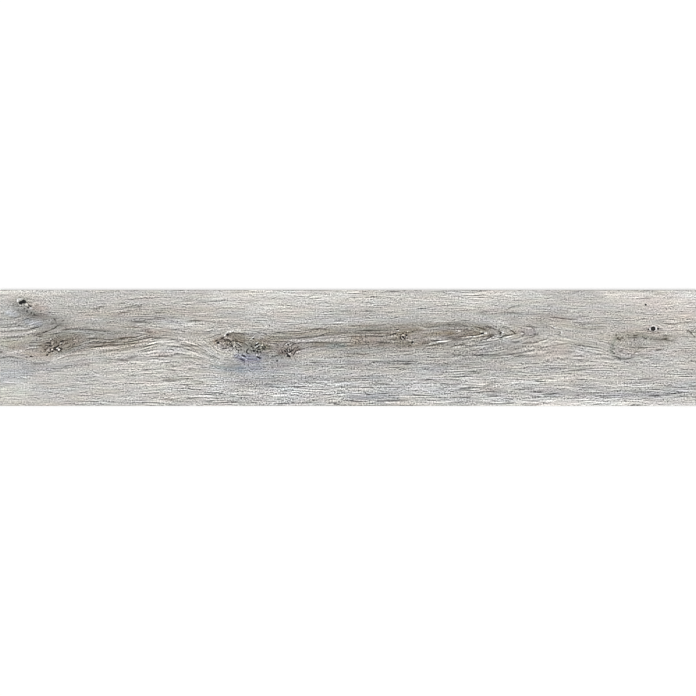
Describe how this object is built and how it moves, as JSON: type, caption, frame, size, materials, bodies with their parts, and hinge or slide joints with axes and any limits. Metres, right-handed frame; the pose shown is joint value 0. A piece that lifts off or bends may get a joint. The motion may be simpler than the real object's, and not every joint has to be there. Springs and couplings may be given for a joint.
{
  "type": "wood look porcelain plank tile",
  "caption": "Long flat rectangular porcelain tile with a grey wood-grain glazed face, bevelled ground edges and a ribbed back for floor or wall bedding.",
  "frame": {"origin": "middle of the back, on the plane of the ribs and rim that the tile beds on", "axes": "+X along the plank's length, +Y across its width, +Z out of the glazed face"},
  "size_m": [1.2, 0.2, 0.009],
  "materials": {
    "porcelain": "matte"
  },
  "bodies": {
    "root": {"plank_tile": "porcelain"}
  },
  "joints": []
}
